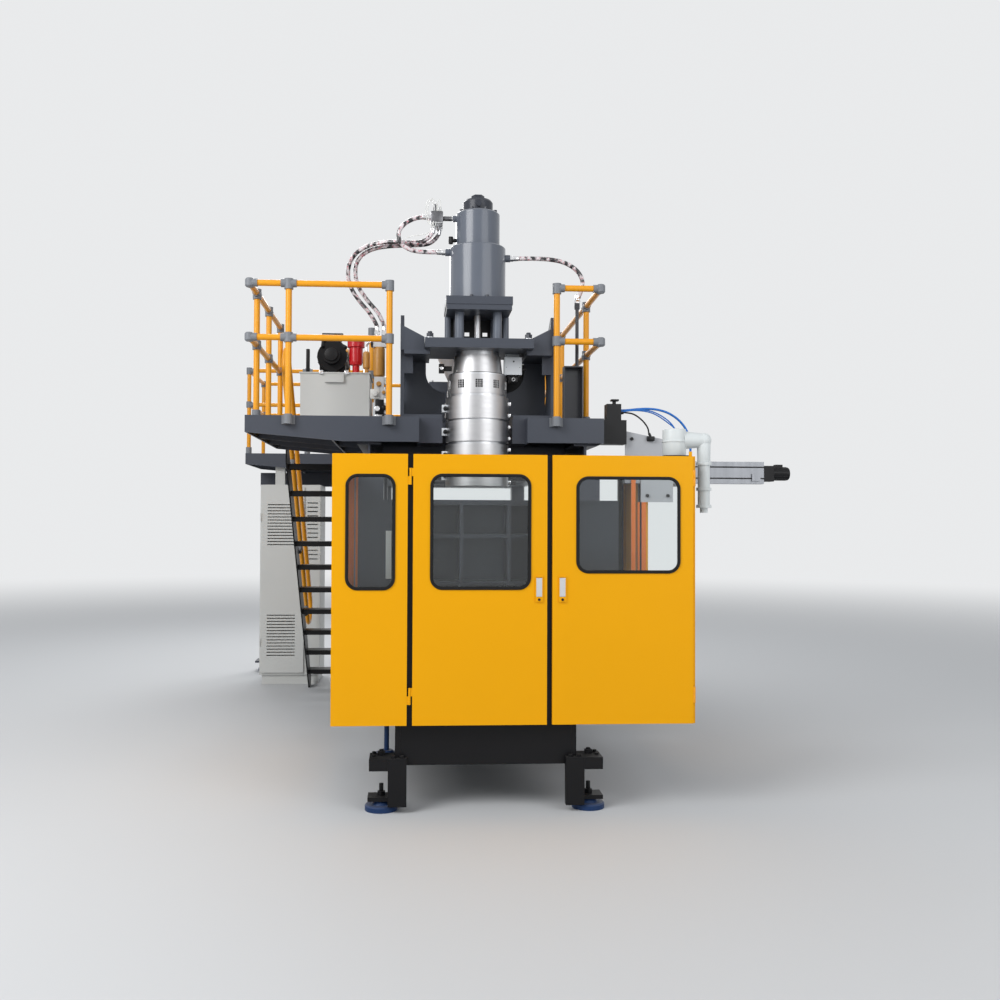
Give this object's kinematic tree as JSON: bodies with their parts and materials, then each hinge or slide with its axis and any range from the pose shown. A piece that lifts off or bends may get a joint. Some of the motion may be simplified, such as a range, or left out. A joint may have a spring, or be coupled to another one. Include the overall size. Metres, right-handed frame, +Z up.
{
  "type": "blow moulding machine",
  "caption": "Extrusion blow moulding machine with an accumulator head, guarded sliding platens, and a railed upper deck that carries the extruder and hopper.",
  "frame": {"origin": "on the floor, under the middle of the bounding box", "axes": "+X to the right seen from the doors, +Y away from the doors along the extruder, +Z up"},
  "size_m": [4.412, 5.961, 3.972],
  "materials": {
    "slate_paint": "semi-gloss",
    "black_paint": "semi-gloss",
    "foot_blue": "satin",
    "rail_yellow": "gloss",
    "clamp_grey": "cast",
    "cabinet_grey": "satin",
    "machined_steel": "machined",
    "band_steel": "brushed",
    "cylinder_paint": "semi-gloss",
    "bright_steel": "polished",
    "box_grey": "satin",
    "hopper_steel": "brushed",
    "filter_red": "gloss",
    "bronze": "gloss",
    "hose_black": "matt",
    "tube_blue": "gloss",
    "pipe_dark": "semi-gloss",
    "guard_yellow": "gloss",
    "clear_pane": "clear",
    "latch_steel": "satin",
    "rail_aluminium": "anodised",
    "bar_orange": "gloss"
  },
  "bodies": {
    "machine": {"base_frame": "black_paint", "levelling_feet": "foot_blue", "support_frame": "slate_paint", "decks": "slate_paint", "rail_tubes": "rail_yellow", "rail_fittings": "clamp_grey", "stair": "black_paint", "electric_cabinet": "cabinet_grey", "cheeks": "slate_paint", "lower_plate": "machined_steel", "standoffs": "machined_steel", "upper_plate": "slate_paint", "push_cylinder": "cylinder_paint", "cylinder_cap": "bright_steel", "head_body": "machined_steel", "heater_bands": "band_steel", "junction_box": "box_grey", "extruder_barrel": "band_steel", "gearbox": "slate_paint", "extruder_motor": "slate_paint", "hopper": "hopper_steel", "oil_tank": "cabinet_grey", "pump_motor": "black_paint", "oil_filter": "filter_red", "accumulators": "bronze", "valve_blocks": "machined_steel", "hose_a": "hose_black", "hose_b": "hose_black", "hose_c": "hose_black", "loop_hose": "hose_black", "pipe_column": "pipe_dark", "guard_frame": "black_paint", "fixed_panels": "guard_yellow", "fixed_panes": "clear_pane", "takeout_plate": "slate_paint", "takeout_rail": "rail_aluminium", "takeout_motor": "box_grey", "guide_bars": "bar_orange", "air_tube": "tube_blue"},
    "centre_door": {"centre_door": "guard_yellow", "centre_pane": "clear_pane"},
    "right_door": {"right_door": "guard_yellow", "right_pane": "clear_pane"},
    "side_door": {"side_door": "guard_yellow", "side_pane": "clear_pane"},
    "cabinet_door": {"cabinet_door": "cabinet_grey"},
    "centre_paddle": {"centre_paddle": "latch_steel"},
    "right_paddle": {"right_paddle": "latch_steel"},
    "clamp_front": {"front_platen": "slate_paint", "tie_bars": "bright_steel", "clamp_yoke": "slate_paint", "clamp_cylinder": "box_grey"},
    "clamp_rear": {"rear_platen": "slate_paint"},
    "ram": {"ram": "machined_steel"},
    "mandrel": {"mandrel": "machined_steel"},
    "screw": {"screw": "machined_steel"},
    "hopper_lid": {"hopper_lid": "hopper_steel"},
    "takeout_carriage": {"takeout_carriage": "rail_aluminium"},
    "panel_arm": {"panel_arm": "rail_aluminium"},
    "blow_pin": {"blow_pin": "machined_steel"}
  },
  "joints": [
    {"name": "centre_door_hinge", "type": "hinge", "parent": "machine", "child": "centre_door", "pos_m": [-0.456, -2.9655, 1.3], "axis": [0, 0, -1], "range_deg": [0, 105]},
    {"name": "right_door_hinge", "type": "hinge", "parent": "machine", "child": "right_door", "pos_m": [1.2285, -2.9655, 1.3], "axis": [0, 0, 1], "range_deg": [0, 110]},
    {"name": "side_door_hinge", "type": "hinge", "parent": "machine", "child": "side_door", "pos_m": [-0.908, -1.6615, 1.3], "axis": [0, 0, -1], "range_deg": [0, 100]},
    {"name": "cabinet_door_hinge", "type": "hinge", "parent": "machine", "child": "cabinet_door", "pos_m": [-2.012, 1.7065, 1.1], "axis": [0, 0, -1], "range_deg": [0, 110]},
    {"name": "centre_paddle_hinge", "type": "hinge", "parent": "centre_door", "child": "centre_paddle", "pos_m": [0.301, -2.9755, 1.379], "axis": [-1, 0, 0], "range_deg": [0, 50]},
    {"name": "right_paddle_hinge", "type": "hinge", "parent": "right_door", "child": "right_paddle", "pos_m": [0.439, -2.9755, 1.379], "axis": [-1, 0, 0], "range_deg": [0, 50]},
    {"name": "clamp_front_slide", "type": "slide", "parent": "machine", "child": "clamp_front", "axis": [0, 1, 0], "range_m": [0, 0.37]},
    {"name": "clamp_rear_slide", "type": "slide", "parent": "machine", "child": "clamp_rear", "axis": [0, -1, 0], "range_m": [0, 0.37]},
    {"name": "ram_slide", "type": "slide", "parent": "machine", "child": "ram", "axis": [0, 0, 1], "range_m": [0, 0.18]},
    {"name": "mandrel_slide", "type": "slide", "parent": "machine", "child": "mandrel", "axis": [0, 0, 1], "range_m": [0, 0.03]},
    {"name": "screw_turn", "type": "hinge", "parent": "machine", "child": "screw", "pos_m": [0, -0.1195, 2.8], "axis": [0, 1, 0], "continuous": true},
    {"name": "hopper_lid_hinge", "type": "hinge", "parent": "machine", "child": "hopper_lid", "pos_m": [0, 1.0925, 3.372], "axis": [-1, 0, 0], "range_deg": [0, 100]},
    {"name": "takeout_slide", "type": "slide", "parent": "machine", "child": "takeout_carriage", "axis": [1, 0, 0], "range_m": [0, 0.45]},
    {"name": "panel_arm_swivel", "type": "hinge", "parent": "machine", "child": "panel_arm", "pos_m": [1.146, -2.8195, 2.19], "axis": [0, 0, 1], "range_deg": [-40, 40]},
    {"name": "blow_pin_lift", "type": "slide", "parent": "machine", "child": "blow_pin", "axis": [0, 0, 1], "range_m": [0, 0.15]}
  ],
  "couplings": [
    {"joint": "clamp_rear_slide", "follows": "clamp_front_slide", "ratio": 1}
  ]
}
